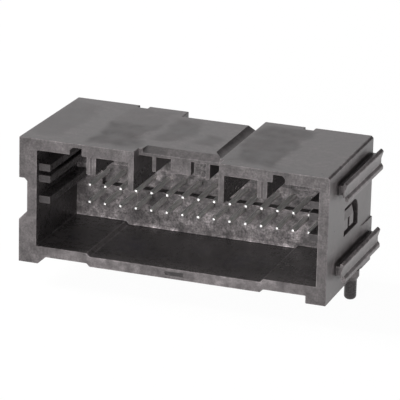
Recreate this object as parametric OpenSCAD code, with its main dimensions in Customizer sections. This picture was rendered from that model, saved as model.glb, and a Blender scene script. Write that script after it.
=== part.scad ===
// Right-angle shrouded pin header with two rows of bent square pins.
// X runs along the pin rows, Y from the open front to the back, Z up from the board.
// The origin is on the board, in the middle of the pin columns, under the front face.

/* [Pins] */
// Pin columns in each row
columns = 15; // [12:1:20]
// Distance between neighbouring columns
pitch = 2.54; // [2.3:0.02:3]
// Height of the lower row's centre line above the cavity floor
row_rise = 4.55; // [4:0.05:5.5]
// Distance between the two rows
row_gap = 2.8; // [2.4:0.1:3.4]
// Side of the square wire
pin_w = 0.64; // [0.5:0.01:0.8]
// Length of pin that stands free in the cavity
pin_reach = 6.28; // [4:0.1:9]
// Length of the taper at both ends of a pin
pin_taper = 0.7; // [0.3:0.05:1.2]
// Side of the small square face at both ends
pin_point = 0.32; // [0.15:0.01:0.4]
// Radius of the bend along the middle of the wire
bend_r = 0.66; // [0.5:0.02:0.8]
// Gap between the back wall and the first row of tails
tail_gap = 0.45; // [0.4:0.05:1]
// Distance between the two rows of tails on the board
tail_rows = 2.54; // [2:0.02:2.8]
// Length of the tails below the board
tail_drop = 3.1; // [2:0.1:4]
// Clearance all round a pin in the back wall
pin_fit = 0.01; // [0.005:0.005:0.05]

/* [Shroud] */
// Room between the end columns and the side walls
side_room = 4.62; // [4:0.05:6]
// Thickness of the side walls
side_t = 1.55; // [1.2:0.05:2]
// Depth of the cavity in front of the back wall
cavity_d = 16.45; // [13:0.05:20]
// Height of the cavity at its sides
cavity_h = 15.25; // [14.5:0.05:17]
// Thickness of the roof
roof_t = 1.85; // [1.6:0.05:2.4]
// Thickness of the floor
floor_t = 1.65; // [1.2:0.05:2.2]
// Thickness of the back wall
back_t = 1.95; // [1.6:0.05:2.4]
// How far the hood over the tails reaches past the outer row of tails
hood_past = 0.42; // [0.4:0.01:1.5]
// Draft of the right side from front to back
draft_right = 0.25; // [0:0.05:0.4]
// Draft of the left blocks from front to back
draft_left = 0.5; // [0:0.05:0.6]
// Corner cut along the roof's right edge
roof_cut = 0.3; // [0.1:0.05:0.6]

/* [Floor and feet] */
// Height of the floor's underside above the board
foot_h = 1.2; // [0.9:0.05:1.6]
// Width of each foot
foot_w = 3.15; // [2.2:0.05:4]
// Width of the slope beside the left foot
foot_slope = 1.3; // [0.5:0.05:2]
// Distance of the floor's dropped middle from the side walls
drop_in = 8.75; // [6:0.05:12]
// How far the middle of the floor is dropped
drop_h = 0.5; // [0.2:0.05:0.7]
// Width of the moulding gate's recess in the front lip
gate_w = 2.9; // [2:0.1:5]
// Height of that recess
gate_h = 0.55; // [0.3:0.05:0.8]
// Height of the rim under that recess
gate_rim = 0.58; // [0.3:0.02:0.7]
// Depth of that recess
gate_d = 0.2; // [0.1:0.02:0.6]
// Diameter of the locating pegs
peg_d = 1.9; // [1.5:0.05:2.2]
// Length of the pegs below the board
peg_drop = 3.2; // [2.4:0.1:4.5]
// Radius of the rounding at the end of a peg
peg_nose = 0.65; // [0.2:0.05:0.7]
// Distance of the pegs from the front
peg_y = 13; // [9:0.1:15]
// How far the pegs sit inside the side walls' outer faces
peg_inset = 0.15; // [0:0.05:0.6]
// Diameter of the boss that carries a peg
boss_d = 2.56; // [2.2:0.02:3]
// Height of that boss
boss_h = 1.6; // [1:0.1:2]
// Height of the cone from the peg out to the boss
boss_cone = 0.6; // [0.2:0.05:0.8]

/* [Roof keys] */
// Distance of the long ribs' inner faces from the middle
long_rib_x = 6.75; // [6:0.05:7.4]
// Thickness of the long ribs
long_rib_t = 0.85; // [0.6:0.05:1.2]
// How far the long ribs hang below the roof
long_rib_h = 4.35; // [3:0.05:4.6]
// Distance of the short ribs from the side walls
short_rib_in = 8.05; // [7.6:0.05:8.6]
// Width of the short ribs
short_rib_w = 1.55; // [1:0.05:1.8]
// How far the short ribs hang below the roof
short_rib_h = 2.7; // [2:0.05:3.5]
// Depth of the groove in the front of a short rib
short_rib_groove = 0.2; // [0.1:0.02:0.3]
// Distance of the keyways from the side walls
keyway_in = 5.35; // [4:0.05:5.8]
// Width of the keyways
keyway_w = 1.9; // [1.4:0.05:2.2]
// Depth of the keyways in the roof
keyway_h = 1.2; // [0.8:0.05:1.4]
// Corner cut at the keyways' outer top edge
keyway_cut = 0.45; // [0.2:0.05:0.8]

/* [Latch bridge] */
// How far the bridge is set back from the front
bridge_set = 2.05; // [1.5:0.05:3]
// How far the ceiling is raised under the bridge
bridge_lift = 0.75; // [0.4:0.05:0.85]
// How far the ledges beside the bridge reach in from the long ribs
ledge_w = 0.45; // [0.2:0.05:0.8]
// How far the lead-in along the bridge's front edge stops short of the ledges
lead_end = 0.2; // [0.1:0.05:1]
// Depth of the lead-in
lead_d = 1.8; // [1:0.05:2.4]
// Height of the lead-in
lead_h = 0.62; // [0.4:0.02:0.8]
// Width of the groove between the bridge's deck and the right ledge
groove_w = 1.8; // [1.4:0.05:2.4]
// Width of the deck's slope into that groove
groove_slope = 1.15; // [0.6:0.05:1.2]
// Depth of the groove
groove_h = 0.66; // [0.3:0.02:0.7]
// Depth of the solid bar in front of the groove, at the deck
bar_d = 2.9; // [2:0.05:4]
// Depth of that bar at the ledge
bar_end_d = 0.7; // [0.4:0.05:1.5]
// How far the bridge stops short of the hood's rear edge
bridge_short = 2.8; // [2:0.05:3.2]
// Distance of the guide ribs' inner faces from the middle
guide_x = 3.95; // [3.2:0.05:4.4]
// Thickness of the guide ribs
guide_t = 0.65; // [0.5:0.05:0.9]
// How far the guide ribs hang below the bridge
guide_h = 2.35; // [1.6:0.05:3]
// Half width of the latch stop in the middle
stop_hw = 1.6; // [1:0.05:2.4]
// How far the latch stop hangs below the bridge
stop_h = 2.15; // [1.4:0.05:2.6]
// Depth of the latch stop
stop_d = 1.5; // [1:0.05:3]

/* [Inside walls] */
// Heights of the wall ribs' undersides above the cavity floor
wall_rib_rise = [6.65, 9.95, 11.75]; // [5:0.05:13]
// Height of a wall rib
wall_rib_h = 1.15; // [0.8:0.05:1.4]
// How far a wall rib stands out of the side wall
wall_rib_out = 1.8; // [1.2:0.05:2.2]
// How far the wall ribs are set back from the front
wall_rib_set = 1; // [0.5:0.05:2]
// How far the recess round the upper row reaches past the end columns
recess_past = 0.45; // [0.4:0.05:1.2]
// Height of the recess's lower edge above the lower row
recess_z = 0.95; // [0.6:0.05:1.4]
// Height of the recess
recess_h = 3.4; // [2.6:0.1:4]
// Depth of the recess in the back wall
recess_d = 1.4; // [0.4:0.05:1.5]

/* [Stacking] */
// How far the left blocks stand out past the side wall
block_out = 1.35; // [1.3:0.05:1.6]
// Height of the lower block
block_low_h = 6.8; // [6.2:0.05:7.2]
// Height of the slope on top of the lower block
block_slope = 1.4; // [0.8:0.05:2]
// Height of the upper block
block_high_h = 6.5; // [6:0.05:7]
// Corner cut under the upper block
block_cut = 0.45; // [0.2:0.05:0.8]
// How far the rails stand out of the right wall
rail_out = 1.45; // [1.3:0.05:1.5]
// Height of a rail's flange
rail_h = 3.25; // [2.8:0.05:3.6]
// Thickness of a rail's flange at its lips
rail_t = 0.55; // [0.45:0.05:0.65]
// Height of the web above the flange's lower edge
rail_web_z = 1; // [0.8:0.05:1.2]
// Thickness of the web that carries the flange
rail_web_t = 1.45; // [1:0.05:1.7]
// Height of the flange's lower lip
rail_lip = 0.55; // [0.3:0.05:0.7]
// Depth of the hollow along the flange's outer face
rail_hollow = 0.35; // [0.15:0.05:0.4]
// Length of the slope from the hollow out to the upper lip
rail_flare = 1.15; // [0.6:0.05:1.4]
// Corner cut along the upper lip
rail_cut = 0.35; // [0.1:0.05:0.42]
// Height of the lower rail's flange above the board
rail_low_z = 2.25; // [1.8:0.05:2.6]
// Distance between the two rails
rail_gap = 12.6; // [12.2:0.05:12.8]
// How far the rails start behind the front
rail_set = 3.9; // [3:0.1:6]
// Length of a rail's narrow nose, in front of its web and lower lip
rail_nose = 1.05; // [0.5:0.05:2]
// Clearance of a neighbour's rail in the slots of the left blocks
rail_fit = 0.1; // [0.05:0.01:0.2]
// Distance of the lock pocket from the front
pocket_y = 8.3; // [7:0.1:10]
// Length of the lock pocket
pocket_l = 7.1; // [5:0.1:8]
// Distance of the pocket's upper edge below the upper rail
pocket_room = 2.25; // [1.8:0.05:2.6]
// Height of the lock pocket
pocket_h = 4.4; // [3.6:0.05:4.8]
// Radius of the pocket's rear upper corner
pocket_r = 2.2; // [1:0.1:2.6]
// Depth of the lock pocket
pocket_d = 1; // [0.4:0.05:1.05]
// Length of the lock arm, from the pocket's front end
arm_l = 5.1; // [4:0.1:5.6]
// Distance of the notch in the arm from the pocket's front end
arm_notch_y = 2.4; // [1.6:0.05:3]
// Width of that notch
arm_notch = 0.85; // [0.4:0.05:1.2]
// Height of the arm above the pocket's lower edge
arm_z = 0.65; // [0.3:0.05:1]
// Height of the arm's outer face
arm_h = 1.65; // [1:0.05:2]
// Height of the slope above that face
arm_slope_h = 1.25; // [0.6:0.05:1.6]
// How far that slope leans in
arm_slope_d = 0.3; // [0.1:0.05:0.6]
// Length of the thicker rear foot of the right wall
heel_l = 5.8; // [4:0.1:7]
// Length of that foot's blend into the wall
heel_blend = 1.4; // [0.6:0.1:2.4]
// Height of that thicker foot
heel_h = 7.15; // [6:0.05:7.6]

/* [Hood] */
// Depth of the notches in the hood's rear edge, in line with the short ribs
notch_d = 1.1; // [0.6:0.05:1.6]

/* [Tail plate] */
// Thickness of the tail plate
plate_t = 1.2; // [0.8:0.05:1.6]
// Height of the plate's underside above the board
plate_z = 0.7; // [0.5:0.05:1.2]
// How far the plate's ends reach into the side walls
plate_tongue = 0.6; // [0.4:0.05:0.9]
// Clearance of the plate in its slots
plate_fit = 0.05; // [0.02:0.01:0.1]
// Gap between the plate and the back wall
plate_gap = 0.1; // [0.05:0.05:0.3]
// How far the plate stops short of the hood's rear edge
plate_short = 0.15; // [0.1:0.05:0.2]
// Clearance all round a tail in the plate
tail_fit = 0.04; // [0.02:0.01:0.1]

/* [Hidden] */
$fn = 48;
past = 1;

cavity_hw = (columns - 1) / 2 * pitch + side_room;
half_w = cavity_hw + side_t;
left_x = -half_w - block_out;
floor_z = foot_h + floor_t;
ceiling_z = floor_z + cavity_h;
top_z = ceiling_z + roof_t;
drop_hw = cavity_hw - drop_in;
back_y = cavity_d + back_t;
row_z = floor_z + row_rise;
row_top_z = row_z + row_gap;
tip_y = cavity_d - pin_reach;
tail_near_y = back_y + tail_gap + pin_w / 2;
tail_far_y = tail_near_y + tail_rows;
depth = tail_far_y + pin_w / 2 + hood_past;
short_rib_x = cavity_hw - short_rib_in - short_rib_w;
keyway_x = cavity_hw - keyway_in - keyway_w;
bridge_hw = long_rib_x - ledge_w;
deck_hw = bridge_hw - groove_w;
bridge_z = ceiling_z + bridge_lift;
bridge_end_y = depth - bridge_short;
lip_z = foot_h - drop_h;
rail_in = rail_out - rail_t;
rail_high_z = rail_low_z + rail_gap;
pocket_z = rail_high_z - pocket_room - pocket_h;
pocket_rim_x = half_w - draft_right;
pocket_x = pocket_rim_x - pocket_d;
plate_hw = cavity_hw + plate_tongue;

function pin_name(row, i) = str("pin_", row, "_", i < 10 ? "0" : "", i);
function column_x(i) = (i - (columns + 1) / 2) * pitch;

// A box between two corners
module box(low, high) {
    translate(low) cube(high - low);
}

// An outline drawn in the front view, swept in depth from y0 to y1
module along_depth(y0, y1) {
    translate([0, y1, 0]) rotate([90, 0, 0]) linear_extrude(y1 - y0) children();
}

// An outline drawn in the side view, Y then Z, swept in width from x0 to x1
module along_width(x0, x1) {
    translate([x0, 0, 0]) rotate([90, 0, 90]) linear_extrude(x1 - x0) children();
}

// The same shape on both sides of the middle
module both_sides() {
    children();
    mirror([1, 0, 0]) children();
}

// A straight square wire that runs up from the origin to a tapered end
module square_wire(length) {
    outline = [
        [-pin_w / 2, 0], [pin_w / 2, 0], [pin_w / 2, length - pin_taper],
        [pin_point / 2, length], [-pin_point / 2, length], [-pin_w / 2, length - pin_taper]
    ];
    intersection() {
        along_depth(-pin_w / 2, pin_w / 2) polygon(outline);
        along_width(-pin_w / 2, pin_w / 2) polygon(outline);
    }
}

// One bent pin: a leg into the cavity, a quarter bend and a solder tail
module bent_pin(x, z, tail_y) {
    bend_y = tail_y - bend_r;
    color("silver") union() {
        translate([x, bend_y, z]) rotate([90, 0, 0]) square_wire(bend_y - tip_y);
        translate([x, tail_y, z - bend_r]) rotate([180, 0, 0]) square_wire(z - bend_r + tail_drop);
        translate([x, bend_y, z - bend_r]) rotate([90, 0, 90])
            rotate_extrude(angle = 90) translate([bend_r, 0]) square(pin_w, center = true);
    }
}

// Front outline of the body: right wall, roof, the two left blocks, feet and floor
module front_outline() {
    foot_l = left_x + foot_w;
    polygon([
        [half_w, 0], [half_w, top_z], [left_x, top_z], [left_x, top_z - block_high_h],
        [-half_w - block_cut, top_z - block_high_h], [-half_w, top_z - block_high_h - block_cut],
        [-half_w, block_low_h + block_slope], [left_x, block_low_h], [left_x, 0],
        [foot_l, 0], [foot_l + foot_slope, foot_h], [-drop_hw - drop_h, foot_h],
        [-drop_hw, lip_z], [drop_hw, lip_z], [drop_hw + drop_h, foot_h],
        [half_w - foot_w, foot_h], [half_w - foot_w, 0]
    ]);
}

// Plan outline of the body, narrower at the back by the draft of its sides
module plan_outline() {
    polygon([
        [left_x, 0], [half_w, 0], [half_w - draft_right, depth], [left_x + draft_left, depth]
    ]);
}

// Front outline of the cavity, with the dropped middle of the floor
module cavity_outline() {
    polygon([
        [-cavity_hw, floor_z], [-drop_hw - drop_h, floor_z], [-drop_hw, floor_z - drop_h],
        [drop_hw, floor_z - drop_h], [drop_hw + drop_h, floor_z], [cavity_hw, floor_z],
        [cavity_hw, ceiling_z], [-cavity_hw, ceiling_z]
    ]);
}

// The flange of a rail above its web's underside, which is all that its nose has
module rail_nose_section() {
    hollow_x = rail_out - rail_hollow;
    flare_z = rail_h - rail_cut;
    polygon([
        [rail_in, rail_web_z], [hollow_x, rail_web_z], [hollow_x, flare_z - rail_flare], [rail_out, flare_z],
        [rail_out - rail_cut, rail_h], [rail_in, rail_h]
    ]);
}

// The rest of a rail's section: the web that carries the flange, and the flange's lower lip
module rail_web_section() {
    hollow_x = rail_out - rail_hollow;
    polygon([
        [-rail_in, rail_web_z], [rail_in, rail_web_z], [rail_in, 0], [rail_out, 0], [rail_out, rail_lip],
        [hollow_x, rail_web_z], [rail_in, rail_web_z + rail_web_t], [-rail_in, rail_web_z + rail_web_t]
    ]);
}

// A stacking rail on the right wall
module rail(z) {
    translate([half_w, 0, z]) {
        along_depth(rail_set, depth) rail_nose_section();
        along_depth(rail_set + rail_nose, depth) rail_web_section();
    }
}

// The slot in a left block that takes a neighbour's rail, open at the back
module rail_slot(z) {
    start_y = rail_set - rail_fit;
    translate([left_x, 0, z]) {
        box([rail_in - rail_fit, start_y, -rail_fit], [rail_out + rail_fit, depth + past, rail_h + rail_fit]);
        box([-past, start_y, rail_web_z - rail_fit],
            [rail_in, depth + past, rail_web_z + rail_web_t + rail_fit]);
    }
}

// Keyway in the roof's underside, with its outer top corner cut off
module keyway() {
    high = ceiling_z + keyway_h;
    along_depth(-past, cavity_d) polygon([
        [keyway_x, ceiling_z - past], [keyway_x, high], [keyway_x + keyway_w - keyway_cut, high],
        [keyway_x + keyway_w, high - keyway_cut], [keyway_x + keyway_w, ceiling_z - past]
    ]);
}

// Short rib under the roof, with a groove down the middle of its front
module short_rib() {
    middle = short_rib_x + short_rib_w / 2;
    difference() {
        box([short_rib_x, 0, ceiling_z - short_rib_h], [short_rib_x + short_rib_w, cavity_d, ceiling_z]);
        translate([middle, 0, ceiling_z - short_rib_h - past]) rotate([0, 0, 45])
            linear_extrude(short_rib_h + past) square(short_rib_groove * sqrt(2), center = true);
    }
}

// Groove between the bridge's deck and the ledge on its right
module deck_groove() {
    intersection() {
        along_depth(0, depth) polygon([
            [deck_hw, top_z], [deck_hw + groove_slope, top_z - groove_h], [bridge_hw, top_z - groove_h],
            [bridge_hw, top_z + past], [deck_hw, top_z + past]
        ]);
        translate([0, 0, ceiling_z]) linear_extrude(roof_t + past) polygon([
            [deck_hw, bridge_set + bar_d], [bridge_hw, bridge_set + bar_end_d],
            [bridge_hw, depth], [deck_hw, depth]
        ]);
    }
}

// Everything that is cut out of the roof: latch notch, lead-in, groove, keyways and rear notches
module roof_cuts() {
    box([-long_rib_x, -past, ceiling_z - past], [long_rib_x, bridge_set, top_z + past]);
    box([-long_rib_x, 0, ceiling_z - past], [long_rib_x, cavity_d, bridge_z]);
    lead_hw = bridge_hw - lead_end;
    along_width(-lead_hw, lead_hw) polygon([
        [bridge_set - past, top_z + past], [bridge_set - past, top_z - lead_h], [bridge_set, top_z - lead_h],
        [bridge_set + lead_d, top_z], [bridge_set + lead_d, top_z + past]
    ]);
    box([-bridge_hw, bridge_end_y, ceiling_z - past], [bridge_hw, depth + past, top_z + past]);
    deck_groove();
    both_sides() {
        keyway();
        box([short_rib_x, depth - notch_d, ceiling_z - past],
            [short_rib_x + short_rib_w, depth + past, top_z + past]);
    }
}

// Corner cut along the roof's right edge, in line with the draft of that side
module roof_edge_cut() {
    translate([half_w, 0, top_z]) rotate([0, 0, atan(draft_right / depth)])
        along_depth(-past, depth + past)
            polygon([[-roof_cut - past, past], [past, -roof_cut - past], [past, past]]);
}

// Ribs and stops that stand inside the cavity
module inner_ribs() {
    both_sides() {
        box([long_rib_x, 0, ceiling_z - long_rib_h], [long_rib_x + long_rib_t, cavity_d, ceiling_z]);
        short_rib();
        box([guide_x, bridge_set, bridge_z - guide_h], [guide_x + guide_t, cavity_d, bridge_z]);
        for (rise = wall_rib_rise)
            box([cavity_hw - wall_rib_out, wall_rib_set, floor_z + rise],
                [cavity_hw, cavity_d, floor_z + rise + wall_rib_h]);
    }
    box([-stop_hw, bridge_set, bridge_z - stop_h], [stop_hw, bridge_set + stop_d, bridge_z]);
}

// Recess in the back wall, round the upper row
module row_recess() {
    hw = column_x(columns) + recess_past;
    low_z = row_z + recess_z;
    box([-hw, cavity_d - past, low_z], [hw, cavity_d + recess_d, low_z + recess_h]);
}

// Locating peg with a rounded end, and the boss that carries it on the wall
module peg(x) {
    centre_r = peg_d / 2 - peg_nose;
    nose = [for (turn = [0 : 15 : 90]) [centre_r + peg_nose * sin(turn), peg_nose * (1 - cos(turn))]];
    shoulder = [
        [peg_d / 2, peg_drop], [boss_d / 2, peg_drop + boss_cone],
        [boss_d / 2, peg_drop + boss_h], [0, peg_drop + boss_h]
    ];
    translate([x, peg_y, -peg_drop]) rotate_extrude() polygon(concat([[0, 0]], nose, shoulder));
}

// Lock arm: a bar that leaves the wall at the pocket's front end, with a notch and a sloped upper part
module lock_arm() {
    low_z = pocket_z + arm_z;
    face_z = low_z + arm_h;
    high_z = face_z + arm_slope_h;
    notch_y = pocket_y + arm_notch_y;
    difference() {
        along_depth(pocket_y - past, pocket_y + arm_l) polygon([
            [pocket_x - past, low_z], [pocket_rim_x, low_z], [pocket_rim_x, face_z],
            [pocket_rim_x - arm_slope_d, high_z], [pocket_x - past, high_z]
        ]);
        box([pocket_x, notch_y, low_z - past], [half_w, notch_y + arm_notch, face_z]);
    }
}

// Pocket in the right wall for a neighbour's lock, with the lock arm left standing in it
module lock_pocket() {
    corner_y = pocket_y + pocket_l - pocket_r;
    corner_z = pocket_z + pocket_h - pocket_r;
    difference() {
        union() {
            box([pocket_x, pocket_y, pocket_z], [half_w + past, corner_y, pocket_z + pocket_h]);
            box([pocket_x, pocket_y, pocket_z], [half_w + past, pocket_y + pocket_l, corner_z]);
            translate([pocket_x, corner_y, corner_z]) rotate([0, 90, 0])
                cylinder(h = half_w + past - pocket_x, r = pocket_r);
        }
        lock_arm();
    }
}

// Thicker rear foot of the right wall, which takes up the draft there
module heel() {
    start_y = depth - heel_l;
    linear_extrude(heel_h) polygon([
        [cavity_hw, start_y], [half_w - draft_right, start_y], [half_w, start_y + heel_blend],
        [half_w, depth], [cavity_hw, depth]
    ]);
}

// Square holes for the pins in the back wall
module pin_holes() {
    hole = pin_w + 2 * pin_fit;
    for (i = [1 : columns], z = [row_z, row_top_z])
        translate([column_x(i), 0, z])
            along_depth(cavity_d - past, back_y + past) square(hole, center = true);
}

// Slots for the tail plate in both side walls, open at the back
module plate_slots() {
    box([-plate_hw, back_y, plate_z - plate_fit], [plate_hw, depth + past, plate_z + plate_t + plate_fit]);
}

// The moulded housing, one piece
module housing() {
    color("dimgray") difference() {
        union() {
            difference() {
                intersection() {
                    along_depth(0, depth) front_outline();
                    linear_extrude(top_z) plan_outline();
                }
                along_depth(-past, cavity_d) cavity_outline();
                roof_cuts();
            }
            inner_ribs();
            for (z = [rail_low_z, rail_high_z])
                rail(z);
            heel();
            peg(half_w - peg_inset);
            peg(peg_inset - half_w);
        }
        box([-cavity_hw, back_y, -past], [cavity_hw, depth + past, ceiling_z]);
        plate_slots();
        for (z = [rail_low_z, rail_high_z])
            rail_slot(z);
        box([-gate_w / 2, -past, lip_z + gate_rim], [gate_w / 2, gate_d, lip_z + gate_rim + gate_h]);
        roof_edge_cut();
        lock_pocket();
        row_recess();
        pin_holes();
    }
}

// The plate that keeps the solder tails on their grid
module tail_plate() {
    hw = plate_hw - plate_fit;
    hole = pin_w + 2 * tail_fit;
    color("dimgray") difference() {
        box([-hw, back_y + plate_gap, plate_z], [hw, depth - plate_short, plate_z + plate_t]);
        for (i = [1 : columns], y = [tail_near_y, tail_far_y])
            translate([column_x(i), y, 0])
                linear_extrude(plate_z + plate_t + past) square(hole, center = true);
    }
}

housing();
tail_plate();
for (i = [1 : columns]) {
    bent_pin(column_x(i), row_top_z, tail_far_y);
    bent_pin(column_x(i), row_z, tail_near_y);
}
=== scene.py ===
"""Looks of a right-angle shrouded pin header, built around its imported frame.

The frame gives every place and main size. This file adds the eased edges of the moulded housing and tail
plate, the two rows of drawn and plated pins, their finishes, and a plain studio with the viewing camera.
"""

import logging
import math
from collections.abc import Iterable, Mapping, Sequence
from dataclasses import dataclass, field
from enum import Enum

import bmesh
import bpy
from mathutils import Matrix, Vector


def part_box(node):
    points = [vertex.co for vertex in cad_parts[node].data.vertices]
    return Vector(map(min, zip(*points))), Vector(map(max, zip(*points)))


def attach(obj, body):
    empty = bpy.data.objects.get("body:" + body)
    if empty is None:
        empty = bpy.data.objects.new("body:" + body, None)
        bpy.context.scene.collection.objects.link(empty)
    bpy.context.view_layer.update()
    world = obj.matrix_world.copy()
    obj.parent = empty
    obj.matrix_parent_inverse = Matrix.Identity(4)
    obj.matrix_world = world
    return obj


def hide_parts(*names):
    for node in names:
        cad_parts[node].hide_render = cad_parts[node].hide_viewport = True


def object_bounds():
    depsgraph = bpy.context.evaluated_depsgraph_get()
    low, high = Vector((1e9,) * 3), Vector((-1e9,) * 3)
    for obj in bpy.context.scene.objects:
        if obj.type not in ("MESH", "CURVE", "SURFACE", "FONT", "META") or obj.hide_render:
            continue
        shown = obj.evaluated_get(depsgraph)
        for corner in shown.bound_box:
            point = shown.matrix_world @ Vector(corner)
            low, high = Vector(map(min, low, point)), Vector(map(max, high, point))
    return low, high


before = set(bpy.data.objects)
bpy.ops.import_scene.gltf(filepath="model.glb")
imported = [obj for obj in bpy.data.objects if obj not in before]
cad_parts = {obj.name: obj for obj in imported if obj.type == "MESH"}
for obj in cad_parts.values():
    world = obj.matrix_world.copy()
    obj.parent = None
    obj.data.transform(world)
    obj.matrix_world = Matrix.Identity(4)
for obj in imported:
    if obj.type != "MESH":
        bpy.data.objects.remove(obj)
CAD_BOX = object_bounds()

Socket = bpy.types.NodeSocket
Span = tuple[float, float]
Colour = tuple[float, float, float]

MM = 0.001
BODY = "root"
LOG = logging.getLogger("pin_header")

# The material slot that marks the eased edges while the bevel makes them, and the face attribute that
# marks them after that.
EASED_SLOT = 1
EASED = "eased"

# Most of a noise lies in this range, round this middle.
NOISE_RANGE = (0.3, 0.7)
NOISE_MIDDLE = 0.5

# How many finer layers a noise has, and how much each of them counts against the one before.
NOISE_DETAIL = 3.0
NOISE_ROUGHNESS = 0.55


class Slot(Enum):
    """The record's material slots."""

    HOUSING = "housing_plastic"
    PLATE = "plate_plastic"
    PINS = "pin_plating"


class Row(Enum):
    """The two rows of pins, by the start of their nodes' names."""

    UPPER = "pin_top_"
    LOWER = "pin_bottom_"


class NodeSheet:
    """A node tree under construction, with short ways to add and wire its nodes."""

    def __init__(self, tree: bpy.types.NodeTree) -> None:
        """Keeps the tree that the nodes go into."""
        self.tree = tree

    def feed(self, node: bpy.types.Node, inputs: Mapping[str | int, object]) -> None:
        """Sets or wires some of a node's inputs.

        Args:
            node: The node.
            inputs: For each input, by name or number, a constant or the socket that feeds it.
        """
        for key, value in inputs.items():
            if isinstance(value, Socket):
                self.tree.links.new(value, node.inputs[key])
            else:
                node.inputs[key].default_value = value

    def add(
        self, kind: str, inputs: Mapping[str | int, object] | None = None, **settings: object
    ) -> bpy.types.Node:
        """Adds one node.

        Args:
            kind: Blender's name of the node type.
            inputs: For each input, by name or number, a constant or the socket that feeds it.
            **settings: The node's own options.

        Returns:
            The new node.
        """
        node = self.tree.nodes.new(kind)
        for option, value in settings.items():
            setattr(node, option, value)
        self.feed(node, inputs or {})
        return node

    def math(
        self, operation: str, first: float | Socket, second: float | Socket = 0.0, third: float | Socket = 0.0
    ) -> Socket:
        """Adds a Math node of up to three numbers or sockets and returns its result."""
        numbers = {0: first, 1: second, 2: third}
        return self.add("ShaderNodeMath", numbers, operation=operation).outputs[0]

    def vector(
        self, operation: str, first: Socket, second: Sequence[float] | Socket = (0.0, 0.0, 0.0)
    ) -> Socket:
        """Adds a Vector Math node of one or two vectors and returns its first result."""
        return self.add("ShaderNodeVectorMath", {0: first, 1: second}, operation=operation).outputs[0]

    def spread(self, noise: Socket, low: float, high: float) -> Socket:
        """Stretches a noise to another range.

        Args:
            noise: The noise's socket.
            low: The result at the low end of the noise's usual range, and below it.
            high: The result at the high end, and above it.

        Returns:
            The result's socket.
        """
        start, end = NOISE_RANGE
        inputs = {"Value": noise, "From Min": start, "From Max": end, "To Min": low, "To Max": high}
        return self.add("ShaderNodeMapRange", inputs).outputs["Result"]

    def noise(self, place: Socket, grain: float, detail: float = NOISE_DETAIL) -> Socket:
        """Adds a noise with blotches of a grain in metres and returns its value."""
        inputs = {"Vector": place, "Scale": 1.0 / grain, "Detail": detail, "Roughness": NOISE_ROUGHNESS}
        return self.add("ShaderNodeTexNoise", inputs, noise_dimensions="3D").outputs[0]

    def ramp(self, value: Socket, start: float, end: float) -> Socket:
        """Adds a smooth step from 0 at start to 1 at end and returns it."""
        inputs = {"Value": value, "From Min": start, "From Max": end}
        return self.add("ShaderNodeMapRange", inputs, interpolation_type="SMOOTHSTEP").outputs["Result"]


def new_shader(name: str) -> tuple[bpy.types.Material, NodeSheet, bpy.types.Node]:
    """Makes an empty surface material.

    Args:
        name: The material's name.

    Returns:
        The material, its node sheet and its Principled BSDF.
    """
    material = bpy.data.materials.new(name)
    material.use_nodes = True
    sheet = NodeSheet(material.node_tree)
    return material, sheet, material.node_tree.nodes["Principled BSDF"]


@dataclass(frozen=True)
class SkinAndShadeField:
    """A box in which a moulding's skin differs from the rest, or in which light and shade are painted into
    its tone.

    Some fields stand for the material: duller skin, a polished face, a gate mark. Others mostly hold painted
    light or shade that the few lamps of the studio don't give, among them the darker polished inside and a
    pale line on the floor.

    Attributes:
        x: Its span across the housing, in millimetres.
        y: Its span from front to back, in millimetres.
        z: Its span in height, in millimetres.
        darker: Share of the tone that it takes away, or adds where negative.
        rougher: What it adds to the roughness.
        mottle: What it adds to the depth of the mottle.
        edge: Width of its soft edge, in millimetres.
        waver: How far its edge wavers across and in depth, in millimetres for each unit of noise.
    """

    x: Span
    y: Span
    z: Span
    darker: float = 0.0
    rougher: float = 0.0
    mottle: float = 0.0
    edge: float = 1.8
    waver: float = 5.0

    def mask(self, sheet: NodeSheet, place: Socket, drift: Socket) -> Socket:
        """Adds the nodes of the field.

        Args:
            sheet: The finish's sheet.
            place: The coordinates' socket.
            drift: Socket of the noise that makes the field's edge waver.

        Returns:
            A socket that is 1 inside and 0 outside.
        """
        low, high = (Vector(corner) * MM for corner in zip(self.x, self.y, self.z))
        moved = sheet.vector("MULTIPLY", drift, (self.waver * MM, self.waver * MM, 0.0))
        off = sheet.vector("SUBTRACT", sheet.vector("ADD", place, moved), (low + high) / 2)
        out = sheet.vector("SUBTRACT", sheet.vector("ABSOLUTE", off), (high - low) / 2)
        parts = sheet.add("ShaderNodeSeparateXYZ", {0: out}).outputs
        reach = sheet.math("MAXIMUM", sheet.math("MAXIMUM", parts[0], parts[1]), parts[2])
        return sheet.ramp(reach, self.edge * MM / 2, -self.edge * MM / 2)


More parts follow.
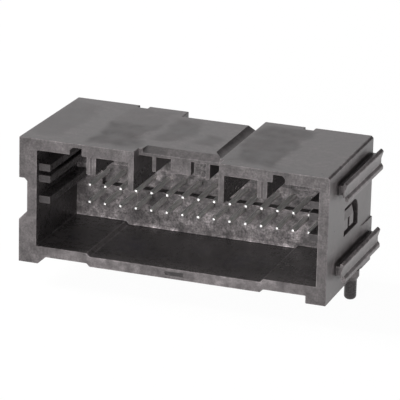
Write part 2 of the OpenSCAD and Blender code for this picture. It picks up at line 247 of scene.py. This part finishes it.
@dataclass(frozen=True)
class MouldedPlastic:
    """Black filled plastic as it leaves the mould: satin, mottled, with a fine grain and faint sinks.

    Attributes:
        name: The material's name.
        tone: Its colour before mottle, wear and fields.
        roughness: Its roughness before mottle and fields.
        rough_swing: How far each layer of mottle moves the roughness either way.
        gloss: The shader's specular level.
        mottle: Share by which each layer of mottle moves the tone either way.
        edge_highlight: Share by which eased edges are paler, a painted highlight, where it is weakest and
            strongest.
        cloud: Size of the broad mottle, and of the waver of the fields' edges, in metres.
        blotch: Size of the middle mottle, in metres.
        fleck: Size of the fine mottle, in metres.
        patch: Size of the unevenness inside the fields, in metres.
        patch_strength: How strongly a field shows, where it is weakest and strongest.
        grain: Size of the grain, in metres.
        grain_depth: Its depth, in metres.
        grain_strength: Share of that depth that shows.
        fine_detail: How many finer layers the fleck and the grain have.
        sink: Size of the sinks, in metres.
        sink_depth: Their depth, in metres.
        sink_strength: Share of that depth that shows.
        sink_detail: How many finer layers they have.
        fields: The places where the skin differs or light and shade are painted.
    """

    name: str
    tone: Colour = (0.104, 0.0938, 0.0952)
    roughness: float = 0.36
    rough_swing: float = 0.04
    gloss: float = 0.3
    mottle: float = 0.24
    edge_highlight: Span = (0.21, 0.7)
    cloud: float = 4.5 * MM
    blotch: float = 1.1 * MM
    fleck: float = 0.3 * MM
    patch: float = 2.2 * MM
    patch_strength: Span = (0.6, 1.3)
    grain: float = 0.12 * MM
    grain_depth: float = 0.004 * MM
    grain_strength: float = 0.5
    fine_detail: float = 2.0
    sink: float = 6.0 * MM
    sink_depth: float = 0.05 * MM
    sink_strength: float = 0.6
    sink_detail: float = 1.0
    fields: tuple[SkinAndShadeField, ...] = ()

    def material(self) -> bpy.types.Material:
        """Builds the finish.

        Returns:
            The material.
        """
        material, sheet, shader = new_shader(self.name)
        place = sheet.add("ShaderNodeTexCoord").outputs["Object"]
        cloud = sheet.noise(place, self.cloud)
        blotch = sheet.noise(place, self.blotch)
        fleck = sheet.noise(place, self.fleck, self.fine_detail)
        tone, rough, mottle = self.skin_and_shade(sheet, place)
        for noise in (cloud, blotch, fleck):
            swing = sheet.math("MULTIPLY", sheet.spread(noise, -1.0, 1.0), mottle)
            tone = sheet.math("MULTIPLY_ADD", tone, swing, tone)
            rough = sheet.math("ADD", rough, sheet.spread(noise, -self.rough_swing, self.rough_swing))
        # Painted highlight: the eased edges are paler, unevenly along them.
        eased = sheet.add("ShaderNodeAttribute", attribute_name=EASED).outputs["Fac"]
        painted_edge_highlight = sheet.math("MULTIPLY", eased, sheet.spread(blotch, *self.edge_highlight))
        tone = sheet.math("MULTIPLY_ADD", tone, painted_edge_highlight, tone)
        colour = sheet.add("ShaderNodeHueSaturation", {"Value": tone, "Color": (*self.tone, 1.0)}).outputs[0]
        relief = self.relief(sheet, place)
        sheet.feed(shader, {"Base Color": colour, "Roughness": rough, "Normal": relief})
        sheet.feed(shader, {"Specular IOR Level": self.gloss})
        return material

    def skin_and_shade(self, sheet: NodeSheet, place: Socket) -> tuple[float | Socket, ...]:
        """Adds the nodes of all fields of skin and of painted light and shade, each uneven inside.

        Args:
            sheet: The finish's sheet.
            place: The coordinates' socket.

        Returns:
            A factor for the tone, the roughness and the depth of the mottle, each a socket or, where the
            finish has no fields, a number.
        """
        cloud = sheet.add(
            "ShaderNodeTexNoise", {"Vector": place, "Scale": 1.0 / self.cloud, "Detail": NOISE_DETAIL}
        )
        drift = sheet.vector("SUBTRACT", cloud.outputs["Color"], (NOISE_MIDDLE,) * 3)
        uneven = sheet.spread(sheet.noise(place, self.patch), *self.patch_strength)
        tone, rough, mottle = 1.0, self.roughness, self.mottle
        for skin_and_shade_field in self.fields:
            mask = sheet.math("MULTIPLY", uneven, skin_and_shade_field.mask(sheet, place, drift))
            kept = sheet.math("MULTIPLY_ADD", mask, -skin_and_shade_field.darker, 1.0)
            tone = sheet.math("MULTIPLY", kept, tone)
            rough = sheet.math("MULTIPLY_ADD", mask, skin_and_shade_field.rougher, rough)
            mottle = sheet.math("MULTIPLY_ADD", mask, skin_and_shade_field.mottle, mottle)
        return tone, rough, mottle

    def relief(self, sheet: NodeSheet, place: Socket) -> Socket:
        """Adds the nodes of the grain on top of the sinks.

        Args:
            sheet: The finish's sheet.
            place: The coordinates' socket.

        Returns:
            The socket of the bumped normal.
        """
        grain = sheet.noise(place, self.grain, self.fine_detail)
        sink = sheet.noise(place, self.sink, self.sink_detail)
        inputs = {"Height": sink, "Distance": self.sink_depth, "Strength": self.sink_strength}
        broad = sheet.add("ShaderNodeBump", inputs).outputs[0]
        inputs = {"Height": grain, "Distance": self.grain_depth, "Strength": self.grain_strength}
        return sheet.add("ShaderNodeBump", {**inputs, "Normal": broad}).outputs[0]


@dataclass(frozen=True)
class TinPlate:
    """Tin on drawn square wire: fine lines along the wire, a little uneven in tone and gloss.

    Attributes:
        name: The material's name.
        tone: Its colour.
        roughness: Its roughness before the patches.
        patch: Size of the uneven patches, in metres.
        patch_tone: Factor for the tone in the darkest and the palest patch.
        patch_rough: What the patches add to the roughness at least and at most.
        line: Width of the drawn lines, in metres.
        line_tone: Factor for the tone in the darkest and the palest line.
        line_squeeze: Scale of the lines' noise along the pins' two legs, against that along the row.
        line_detail: How many finer layers the lines have.
        line_depth: Their depth, in metres.
        line_strength: Share of that depth that shows.
    """

    name: str
    tone: Colour = (0.9, 0.895, 0.88)
    roughness: float = 0.54
    patch: float = 0.35 * MM
    patch_tone: Span = (0.9, 1.04)
    patch_rough: Span = (-0.06, 0.08)
    line: float = 0.05 * MM
    line_tone: Span = (0.95, 1.03)
    line_squeeze: float = 0.12
    line_detail: float = 2.0
    line_depth: float = 0.0006 * MM
    line_strength: float = 0.4

    def material(self) -> bpy.types.Material:
        """Builds the finish.

        Returns:
            The material.
        """
        material, sheet, shader = new_shader(self.name)
        place = sheet.add("ShaderNodeTexCoord").outputs["Object"]
        along = (1.0, self.line_squeeze, self.line_squeeze)
        drawn = sheet.add("ShaderNodeMapping", {"Vector": place, "Scale": along}).outputs[0]
        patch = sheet.noise(place, self.patch)
        line = sheet.noise(drawn, self.line, self.line_detail)
        patch_tone = sheet.spread(patch, *self.patch_tone)
        tone = sheet.math("MULTIPLY", patch_tone, sheet.spread(line, *self.line_tone))
        colour = sheet.add("ShaderNodeHueSaturation", {"Value": tone, "Color": (*self.tone, 1.0)}).outputs[0]
        rough = sheet.math("ADD", sheet.spread(patch, *self.patch_rough), self.roughness)
        inputs = {"Height": line, "Distance": self.line_depth, "Strength": self.line_strength}
        lines = sheet.add("ShaderNodeBump", inputs).outputs[0]
        sheet.feed(shader, {"Base Color": colour, "Roughness": rough, "Normal": lines, "Metallic": 1.0})
        return material


# Spans of the housing's faces and bays, in millimetres, for its fields of skin and of painted light and
# shade.
WHOLE_WIDTH = (-26.0, 26.0)
INSIDE_WIDTH = (-22.6, 22.6)
LEFT_BAY = (-22.6, -7.5)
MIDDLE_BAY = (-7.5, 7.5)
RIGHT_BAY = (7.5, 22.6)
LEFT_ROOF = (-15.2, -7.7)
FRONT_FACE = (-0.5, 0.12)
INSIDE_DEPTH = (0.15, 16.3)
TOP_FACE = (19.2, 22.0)


def polished_and_shaded(x: Span, z: Span, darker: float, mottle: float) -> SkinAndShadeField:
    """Gives a field of the inside, which the polished core of the tool left smooth and even, its darker tone
    painted shade of the cavity.
    """
    return SkinAndShadeField(x, INSIDE_DEPTH, z, darker, rougher=-0.08, mottle=mottle, edge=0.2, waver=0.0)


HOUSING_FIELDS = (
    # Duller zones of the top: right, left front, left rear, left end, and two on the deck.
    SkinAndShadeField((6.9, 14.8), (1.6, 20.5), TOP_FACE, darker=0.3, rougher=0.09),
    SkinAndShadeField(LEFT_ROOF, (1.6, 13.2), TOP_FACE, darker=0.32, rougher=0.1),
    SkinAndShadeField(LEFT_ROOF, (13.2, 20.5), TOP_FACE, darker=0.12, rougher=0.04),
    SkinAndShadeField((-25.0, -19.2), (3.5, 20.0), TOP_FACE, darker=0.14, rougher=0.04),
    SkinAndShadeField((-6.3, -2.2), (7.2, 18.0), TOP_FACE, darker=0.24, rougher=0.07),
    SkinAndShadeField((0.2, 3.4), (7.6, 12.2), TOP_FACE, darker=0.24, rougher=0.07),
    # The darker left part of the lead-in before the deck.
    SkinAndShadeField((-6.2, -2.4), (1.9, 3.9), (18.9, 20.2), darker=0.35, edge=0.6, waver=1.5),
    # The gate mark in the middle of the front lip.
    SkinAndShadeField((-1.5, 1.5), (-0.5, 0.5), (1.25, 1.9), darker=0.6, edge=0.2, waver=0.4),
    # The polished inside, its darker tone painted shade of the cavity: the floor, then what stands above it
    # in each bay.
    polished_and_shaded(INSIDE_WIDTH, (1.8, 3.2), darker=0.34, mottle=-0.18),
    polished_and_shaded(MIDDLE_BAY, (3.2, 16.4), darker=0.45, mottle=-0.15),
    polished_and_shaded(LEFT_BAY, (3.2, 18.3), darker=0.5, mottle=-0.15),
    polished_and_shaded(RIGHT_BAY, (3.2, 18.3), darker=0.5, mottle=-0.15),
    # The coarser back wall.
    SkinAndShadeField(INSIDE_WIDTH, (16.35, 18.0), (2.0, 18.6), mottle=0.34, edge=0.1, waver=0.0),
    # Light and shade at the back wall: its paler lower part, its pale foot, the dark strip of floor before
    # it, and the dark floor of the recess round the upper pins.
    SkinAndShadeField(INSIDE_WIDTH, (15.5, 17.5), (2.0, 6.2), darker=-0.2, edge=0.4, waver=0.4),
    SkinAndShadeField(INSIDE_WIDTH, (16.3, 16.6), (2.0, 2.8), darker=-0.45, edge=0.1, waver=0.0),
    SkinAndShadeField(INSIDE_WIDTH, (15.7, 16.35), (1.8, 2.95), darker=0.65, edge=0.15, waver=0.0),
    SkinAndShadeField(INSIDE_WIDTH, (16.5, 18.0), (8.2, 8.45), darker=0.75, edge=0.1, waver=0.0),
    # A painted highlight: the pale line along the drop in the floor.
    SkinAndShadeField((-14.3, -13.5), (0.2, 16.3), (2.2, 3.0), darker=-1.2, edge=0.1, waver=0.0),
    # Shade on the pegs.
    SkinAndShadeField(WHOLE_WIDTH, (10.0, 16.0), (-5.0, -0.1), darker=0.7, rougher=-0.08, edge=0.4, waver=0.0),
    # The slightly coarser front.
    SkinAndShadeField(WHOLE_WIDTH, FRONT_FACE, (-1.0, 21.0), mottle=0.06, edge=0.1, waver=0.0),
    # Light and shade outside: the paler front lip, the darker left end of the front, and the paler rails.
    SkinAndShadeField((-20.5, 20.5), FRONT_FACE, (-0.5, 2.6), darker=-0.3, edge=0.6, waver=0.6),
    SkinAndShadeField((-26.0, -22.0), FRONT_FACE, (3.5, 18.5), darker=0.14, edge=2.0, waver=1.0),
    SkinAndShadeField((24.2, 26.0), (-0.5, 23.0), (0.6, 21.0), darker=-0.25, edge=0.2, waver=0.0),
)


def add_object(name: str, data: bpy.types.ID) -> bpy.types.Object:
    """Adds an object to the scene.

    Args:
        name: Its name.
        data: Its mesh, lamp or camera.

    Returns:
        The object.
    """
    made = bpy.data.objects.new(name, data)
    bpy.context.scene.collection.objects.link(made)
    return made


def apply_modifiers(piece: bpy.types.Object) -> None:
    """Gives a piece the plain mesh that its modifiers make, and removes them.

    Args:
        piece: The object.
    """
    evaluated = piece.evaluated_get(bpy.context.evaluated_depsgraph_get())
    made = bpy.data.meshes.new_from_object(evaluated)
    piece.modifiers.clear()
    piece.data = made


def show_piece(piece: bpy.types.Object, nodes: Iterable[str]) -> None:
    """Puts a finished piece on the body in place of its CAD nodes.

    Args:
        piece: The finished mesh object.
        nodes: Names of the CAD nodes that it stands for.
    """
    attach(piece, BODY)
    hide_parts(*nodes)


@dataclass
class EasedMoulding:
    """A moulded node with its sharp edges eased as a mould leaves them.

    Attributes:
        piece: The finished piece's name.
        node: The CAD node that it is made from.
        slot: The record's slot for its finish; not used.
        finish: Its finish.
        ease: How far a full ease reaches along each face, in metres.
        ease_share: Most of the shortest edge beside it that an ease may take.
        steps: How many faces go round an ease.
        weld: Distance within which corners are one, in metres.
        flat_angle: Angle up to which two faces count as one flat face.
        sharp_angle: Angle from which an edge is eased.
        crease_angle: Angle from which shading breaks at an edge.
    """

    piece: str
    node: str
    slot: Slot
    finish: MouldedPlastic
    ease: float = 0.11 * MM
    ease_share: float = 0.3
    steps: int = 2
    weld: float = 0.001 * MM
    flat_angle: float = math.radians(0.5)
    sharp_angle: float = math.radians(30.0)
    crease_angle: float = math.radians(8.0)

    def merged_mesh(self) -> bpy.types.Mesh:
        """Copies the node's mesh, welds it and joins its flat triangles.

        Returns:
            The new mesh, with the ease of each sharp edge as its bevel weight.
        """
        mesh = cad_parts[self.node].data.copy()
        mesh.name = self.piece
        form = bmesh.new()
        form.from_mesh(mesh)
        bmesh.ops.remove_doubles(form, verts=form.verts, dist=self.weld)
        bmesh.ops.dissolve_limit(form, angle_limit=self.flat_angle, verts=form.verts, edges=form.edges)
        bmesh.ops.connect_verts_concave(form, faces=form.faces)
        weight = form.edges.layers.float.new("bevel_weight_edge")
        for edge in form.edges:
            edge[weight] = self.edge_weight(edge)
        form.to_mesh(mesh)
        form.free()
        return mesh

    def edge_weight(self, edge: bmesh.types.BMEdge) -> float:
        """Gives the share of the full ease that an edge takes.

        Args:
            edge: The edge.

        Returns:
            0 for a flat edge, and less than 1 where the edge or one beside it is too short for the full ease.
        """
        if len(edge.link_faces) != 2 or edge.calc_face_angle(0.0) < self.sharp_angle:
            return 0.0
        beside = [other.calc_length() for vert in edge.verts for other in vert.link_edges if other != edge]
        room = min([edge.calc_length(), *beside]) * self.ease_share
        return min(1.0, room / self.ease)

    def build(self) -> bpy.types.Object:
        """Makes the eased piece and dresses it.

        Returns:
            The finished object.
        """
        piece = add_object(self.piece, self.merged_mesh())
        bevel = piece.modifiers.new("ease", "BEVEL")
        bevel.width = self.ease
        bevel.segments = self.steps
        bevel.limit_method = "WEIGHT"
        bevel.use_clamp_overlap = False
        bevel.material = EASED_SLOT
        finish = self.finish.material()
        piece.data.materials.clear()
        for _ in range(EASED_SLOT + 1):
            piece.data.materials.append(finish)
        apply_modifiers(piece)
        piece.data.shade_smooth()
        piece.data.set_sharp_from_angle(angle=self.crease_angle)
        self.mark_eased(piece.data)
        self.keep_inside(piece.data)
        show_piece(piece, [self.node])
        return piece

    def mark_eased(self, mesh: bpy.types.Mesh) -> None:
        """Turns the bevel's own material slot into a face attribute that the finish reads.

        Args:
            mesh: The eased mesh, whose bevel faces have the second slot.
        """
        marks = [float(polygon.material_index) for polygon in mesh.polygons]
        mesh.attributes.new(EASED, "FLOAT", "FACE").data.foreach_set("value", marks)
        mesh.polygons.foreach_set("material_index", [0] * len(marks))
        mesh.materials.pop(index=EASED_SLOT)

    def keep_inside(self, mesh: bpy.types.Mesh) -> None:
        """Pulls back the corners that the easing pushed past the node's own box.

        Args:
            mesh: The eased mesh.
        """
        low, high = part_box(self.node)
        for vert in mesh.vertices:
            vert.co = [min(max(place, least), most) for place, least, most in zip(vert.co, low, high)]


@dataclass
class PinRow:
    """One row of bent square pins, drawn along one path and repeated in Geometry Nodes.

    Attributes:
        piece: The finished piece's name.
        row: Which row it is.
        finish: The material of its pins.
        bend_radius: Radius of the bend at the wire's middle, in metres.
        bend_steps: How many points the bend has.
        taper: Length of the thinned ends, in metres.
        point: Width of the wire at its ends, in metres.
        corner: Radius of the wire's corners, in metres.
        nodes: Names of the row's CAD nodes, in order.
    """

    piece: str
    row: Row
    finish: bpy.types.Material
    bend_radius: float = 0.66 * MM
    bend_steps: int = 8
    taper: float = 0.7 * MM
    point: float = 0.32 * MM
    corner: float = 0.05 * MM
    nodes: list[str] = field(init=False)

    def __post_init__(self) -> None:
        """Finds the row's CAD nodes, in order."""
        self.nodes = sorted(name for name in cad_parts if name.startswith(self.row.value))

    def sizes(self) -> dict[str, float | int]:
        """Reads the row's sizes from the frame.

        Returns:
            A value for each named input of the row's node tree.
        """
        low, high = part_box(self.nodes[0])
        far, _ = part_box(self.nodes[-1])
        wire = high.x - low.x
        return {
            "Wire": wire,
            "Point": self.point,
            "Taper": self.taper,
            "Corner": self.corner,
            "Bend Radius": self.bend_radius,
            "Tip Y": low.y,
            "Tail Y": high.y - wire / 2,
            "Leg Z": high.z - wire / 2,
            "Tail End Z": low.z,
            "First X": (low.x + high.x) / 2,
            "Pitch": (far.x - low.x) / (len(self.nodes) - 1),
            "Columns": len(self.nodes),
        }

    def tree(self) -> tuple[bpy.types.NodeTree, dict[str, str]]:
        """Builds the node tree of the row.

        Returns:
            The tree, and the identifier of each named input.
        """
        tree = bpy.data.node_groups.new(self.piece, "GeometryNodeTree")
        sheet = NodeSheet(tree)
        identifiers = {}
        for name, value in self.sizes().items():
            kind = "NodeSocketInt" if isinstance(value, int) else "NodeSocketFloat"
            identifiers[name] = tree.interface.new_socket(name, in_out="INPUT", socket_type=kind).identifier
        tree.interface.new_socket("Geometry", in_out="OUTPUT", socket_type="NodeSocketGeometry")
        size = tree.nodes.new("NodeGroupInput").outputs
        path = self.pin_path(sheet, size)
        wide = {"Width": size["Wire"], "Height": size["Wire"]}
        square = sheet.add("GeometryNodeCurvePrimitiveQuadrilateral", wide).outputs[0]
        rounded = sheet.add("GeometryNodeFilletCurve", {"Curve": square, "Radius": size["Corner"]}).outputs[0]
        thickness = sheet.add("GeometryNodeInputRadius").outputs[0]
        sweep = {"Curve": path, "Profile Curve": rounded, "Scale": thickness, "Fill Caps": True}
        pin = sheet.add("GeometryNodeCurveToMesh", sweep).outputs[0]
        start = sheet.add("ShaderNodeCombineXYZ", {"X": size["First X"]}).outputs[0]
        step = sheet.add("ShaderNodeCombineXYZ", {"X": size["Pitch"]}).outputs[0]
        columns = {"Count": size["Columns"], "Start Location": start, "Offset": step}
        places = sheet.add("GeometryNodeMeshLine", columns, mode="OFFSET").outputs[0]
        row = sheet.add("GeometryNodeInstanceOnPoints", {"Points": places, "Instance": pin}).outputs[0]
        row = sheet.add("GeometryNodeRealizeInstances", {"Geometry": row}).outputs[0]
        row = sheet.add("GeometryNodeSetMaterial", {"Geometry": row, "Material": self.finish}).outputs[0]
        sheet.add("NodeGroupOutput", {"Geometry": row})
        return tree, identifiers

    def pin_path(self, sheet: NodeSheet, size: bpy.types.bpy_prop_collection) -> Socket:
        """Adds the nodes of one pin's middle line, from its tip round the bend to its tail's end.

        Args:
            sheet: The sheet of the row's tree.
            size: The named input sockets.

        Returns:
            The socket of the curve, thinned at both ends.
        """
        taper_y = sheet.math("ADD", size["Tip Y"], size["Taper"])
        taper_z = sheet.math("ADD", size["Tail End Z"], size["Taper"])
        stations = [
            (size["Tip Y"], size["Leg Z"]),
            (taper_y, size["Leg Z"]),
            (size["Tail Y"], size["Leg Z"]),
            (size["Tail Y"], taper_z),
            (size["Tail Y"], size["Tail End Z"]),
        ]
        index = sheet.add("GeometryNodeInputIndex").outputs[0]
        pick = sheet.add("GeometryNodeIndexSwitch", {"Index": index}, data_type="VECTOR")
        while len(pick.index_switch_items) < len(stations):
            pick.index_switch_items.new()
        for number, (y, z) in enumerate(stations, start=1):
            corner = sheet.add("ShaderNodeCombineXYZ", {"Y": y, "Z": z}).outputs[0]
            sheet.feed(pick, {number: corner})
        line = sheet.add("GeometryNodeMeshLine", {"Count": len(stations)}, mode="OFFSET").outputs[0]
        placed = {"Geometry": line, "Position": pick.outputs[0]}
        line = sheet.add("GeometryNodeSetPosition", placed).outputs[0]
        curve = sheet.add("GeometryNodeMeshToCurve", {"Mesh": line}).outputs[0]
        # The bend is the middle station, and a half separates its number from those beside it.
        middle, half = float(len(stations) // 2), 0.5
        from_bend = sheet.math("ABSOLUTE", sheet.math("SUBTRACT", index, middle))
        is_end = sheet.math("GREATER_THAN", from_bend, middle - half)
        is_bend = sheet.math("LESS_THAN", from_bend, half)
        thin = sheet.math("SUBTRACT", sheet.math("DIVIDE", size["Point"], size["Wire"]), 1.0)
        radius = sheet.math("MULTIPLY_ADD", thin, is_end, 1.0)
        curve = sheet.add("GeometryNodeSetCurveRadius", {"Curve": curve, "Radius": radius}).outputs[0]
        bend = sheet.math("MULTIPLY", is_bend, size["Bend Radius"])
        inputs = {"Curve": curve, "Radius": bend, "Count": self.bend_steps}
        return sheet.add("GeometryNodeFilletCurve", inputs, mode="POLY").outputs[0]

    def build(self) -> bpy.types.Object:
        """Makes the row as one plain mesh.

        Returns:
            The finished object.
        """
        piece = add_object(self.piece, bpy.data.meshes.new(self.piece))
        tree, identifiers = self.tree()
        maker = piece.modifiers.new("row", "NODES")
        maker.node_group = tree
        for name, value in self.sizes().items():
            maker[identifiers[name]] = value
        apply_modifiers(piece)
        show_piece(piece, self.nodes)
        return piece


def direction(azimuth: float, elevation: float) -> Vector:
    """Gives the way from the object to a viewer.

    Args:
        azimuth: Degrees round from the front, towards the side with the rails.
        elevation: Degrees above the horizon.

    Returns:
        A unit vector.
    """
    turn, rise = math.radians(azimuth), math.radians(elevation)
    return Vector((math.sin(turn) * math.cos(rise), -math.cos(turn) * math.cos(rise), math.sin(rise)))


@dataclass(frozen=True)
class Lamp:
    """A square soft box that looks at the object.

    Attributes:
        name: Its name.
        azimuth: Where it hangs, in degrees round from the front.
        elevation: Where it hangs, in degrees above the horizon.
        distance: How far away it hangs, in metres.
        side: Length of its side, in metres.
        level: How bright it makes a white face square on to it.
        in_gloss: Whether gloss shows it.
    """

    name: str
    azimuth: float
    elevation: float
    distance: float
    side: float
    level: float
    in_gloss: bool = True

    def place(self, target: Vector) -> None:
        """Hangs the lamp, with the power that its level needs at its distance.

        Args:
            target: The point that it looks at.
        """
        data = bpy.data.lights.new(self.name, "AREA")
        data.size = self.side
        data.energy = self.level * (math.pi * self.distance) ** 2
        lamp = add_object(self.name, data)
        away = direction(self.azimuth, self.elevation)
        lamp.location = target + away * self.distance
        lamp.rotation_euler = away.to_track_quat("Z", "Y").to_euler()
        lamp.visible_glossy = self.in_gloss


@dataclass(frozen=True)
class GlossPatch:
    """A soft round patch of the surroundings that only gloss shows.

    Attributes:
        azimuth: Where its middle lies, in degrees round from the front.
        elevation: Where its middle lies, in degrees above the horizon.
        inner: Angle from the middle, in degrees, up to which it is full.
        outer: Angle from the middle, in degrees, at which it ends.
        level: How bright it is.
    """

    azimuth: float
    elevation: float
    inner: float
    outer: float
    level: float

    def mask(self, sheet: NodeSheet) -> Socket:
        """Adds the nodes of the patch.

        Args:
            sheet: The sheet of the world's nodes.

        Returns:
            A socket that is 1 in the patch and 0 outside.
        """
        way = sheet.add("ShaderNodeTexCoord").outputs["Generated"]
        inputs = {0: way, 1: direction(self.azimuth, self.elevation)}
        near = sheet.add("ShaderNodeVectorMath", inputs, operation="DOT_PRODUCT").outputs["Value"]
        return sheet.ramp(near, math.cos(math.radians(self.outer)), math.cos(math.radians(self.inner)))


@dataclass
class Studio:
    """A pale floor, soft light, and the viewing camera.

    Attributes:
        target: The point that the camera and the lamps look at, in metres.
        azimuth: Where the camera stands, in degrees round from the front.
        elevation: Where the camera stands, in degrees above the horizon.
        roll: How far the camera is tilted to one side, in degrees.
        distance: How far away the camera stands, in metres.
        nearest: How near the camera starts to see, in metres.
        sensor: Width of the camera's sensor, in millimetres.
        focal_pixels: Its focal length, in pixels of the image.
        image_pixels: Width of the image, in pixels.
        floor_side: Length of the floor's side, in metres.
        floor_tone: The floor's own tone, which lights the object and takes its shadow.
        floor_glow: How bright the floor glows where it shows.
        glow_share: Share of that glow in what shows of the floor.
        ambient: Level of the light from all round.
        around: Level of the surroundings in gloss.
        panel: The pale panel that gloss shows.
        dark_gap: The dark gap in that panel.
        lamps: The soft boxes.
    """

    target: Vector = field(default_factory=lambda: Vector((0.161, 10.454, 10.103)) * MM)
    azimuth: float = 19.68
    elevation: float = 18.738
    roll: float = 1.425
    distance: float = 490.279 * MM
    nearest: float = 10.0 * MM
    sensor: float = 36.0
    focal_pixels: float = 3224.363
    image_pixels: float = 400.0
    floor_side: float = 3.0
    floor_tone: float = 0.9
    floor_glow: float = 1.02
    glow_share: float = 0.95
    ambient: float = 0.12
    around: float = 0.4
    panel: GlossPatch = GlossPatch(azimuth=-160.0, elevation=19.0, inner=50.0, outer=75.0, level=0.97)
    dark_gap: GlossPatch = GlossPatch(azimuth=160.0, elevation=18.0, inner=22.0, outer=34.0, level=0.02)
    lamps: tuple[Lamp, ...] = (
        Lamp("front_box", azimuth=-2.0, elevation=6.0, distance=0.7, side=0.25, level=1.0),
        Lamp("left_box", azimuth=-90.0, elevation=33.0, distance=1.4, side=0.5, level=1.0, in_gloss=False),
        Lamp("right_fill", azimuth=90.0, elevation=0.5, distance=0.7, side=0.06, level=0.5, in_gloss=False),
    )

    def camera(self) -> None:
        """Places the camera as the viewer stood."""
        back = direction(self.azimuth, self.elevation)
        turn, tilt = math.radians(self.azimuth), math.radians(self.roll)
        level = Vector((math.cos(turn), math.sin(turn), 0.0))
        rise = back.cross(level)
        right = level * math.cos(tilt) + rise * math.sin(tilt)
        upward = rise * math.cos(tilt) - level * math.sin(tilt)
        data = bpy.data.cameras.new("viewer")
        data.sensor_width = self.sensor
        data.lens = self.sensor * self.focal_pixels / self.image_pixels
        data.clip_start = self.nearest
        viewer = add_object("viewer", data)
        turned = Matrix((right, upward, back)).transposed().to_4x4()
        viewer.matrix_world = Matrix.Translation(self.target + back * self.distance) @ turned
        bpy.context.scene.camera = viewer

    def floor(self) -> None:
        """Lays the floor under the lowest point of the object."""
        level, half = CAD_BOX[0].z, self.floor_side / 2
        corners = [(x * half, y * half, level) for x, y in ((-1, -1), (1, -1), (1, 1), (-1, 1))]
        mesh = bpy.data.meshes.new("floor")
        mesh.from_pydata(corners, [], [(0, 1, 2, 3)])
        mesh.materials.append(self.floor_material())
        add_object("floor", mesh)

    def floor_material(self) -> bpy.types.Material:
        """Builds the floor's finish: a matt face that glows for rays that show it, straight or in a gloss.

        Returns:
            The material.
        """
        material = bpy.data.materials.new("pale_floor")
        material.use_nodes = True
        material.node_tree.nodes.clear()
        sheet = NodeSheet(material.node_tree)
        rays = sheet.add("ShaderNodeLightPath").outputs
        shown = sheet.math("MAXIMUM", rays["Is Camera Ray"], rays["Is Glossy Ray"])
        shown = sheet.math("MAXIMUM", shown, rays["Is Transmission Ray"])
        matt = sheet.add("ShaderNodeBsdfDiffuse", {"Color": (*[self.floor_tone] * 3, 1.0)}).outputs[0]
        glow = sheet.add("ShaderNodeEmission", {"Strength": self.floor_glow}).outputs[0]
        share = sheet.math("MULTIPLY", shown, self.glow_share)
        mixed = sheet.add("ShaderNodeMixShader", {0: share, 1: matt, 2: glow}).outputs[0]
        sheet.add("ShaderNodeOutputMaterial", {"Surface": mixed})
        return material

    def world(self) -> None:
        """Makes the surroundings: even light, white for the camera, and the panel and its gap for gloss."""
        world = bpy.data.worlds.new("surroundings")
        world.use_nodes = True
        bpy.context.scene.world = world
        sheet = NodeSheet(world.node_tree)
        panel = self.panel.mask(sheet)
        shown = sheet.math("MULTIPLY_ADD", panel, self.panel.level - self.around, self.around)
        gap = self.dark_gap.mask(sheet)
        loss = sheet.math("MULTIPLY", gap, sheet.math("SUBTRACT", self.dark_gap.level, shown))
        shown = sheet.math("ADD", shown, loss)
        rays = sheet.add("ShaderNodeLightPath").outputs
        extra = sheet.math("SUBTRACT", shown, self.ambient)
        level = sheet.math("MULTIPLY_ADD", rays["Is Glossy Ray"], extra, self.ambient)
        level = sheet.math("MAXIMUM", level, rays["Is Camera Ray"])
        background = world.node_tree.nodes["Background"]
        sheet.feed(background, {"Color": (1.0, 1.0, 1.0, 1.0), "Strength": level})

    def build(self) -> None:
        """Sets up the whole studio."""
        self.camera()
        self.floor()
        self.world()
        for lamp in self.lamps:
            lamp.place(self.target)
        bpy.context.scene.view_settings.view_transform = "Standard"


# The tail plate's own tone and finer ease.
PLATE_TONE = (0.085, 0.083, 0.083)
PLATE_EASE = 0.06 * MM


def main() -> None:
    """Builds the studio and then the header's pieces in order, and reports each piece."""
    logging.basicConfig(level=logging.INFO, format="%(name)s %(message)s")
    Studio().build()
    housing_finish = MouldedPlastic(Slot.HOUSING.value, fields=HOUSING_FIELDS)
    plate_finish = MouldedPlastic(Slot.PLATE.value, tone=PLATE_TONE)
    plating = TinPlate(Slot.PINS.value).material()
    sub_assemblies = (
        EasedMoulding("housing_shell", "housing", Slot.HOUSING, housing_finish),
        EasedMoulding("tail_guide", "tail_plate", Slot.PLATE, plate_finish, ease=PLATE_EASE),
        PinRow("upper_pins", Row.UPPER, plating),
        PinRow("lower_pins", Row.LOWER, plating),
    )
    for sub_assembly in sub_assemblies:
        piece = sub_assembly.build()
        LOG.info("%s: %d faces", piece.name, len(piece.data.polygons))


if __name__ == "__main__":
    main()
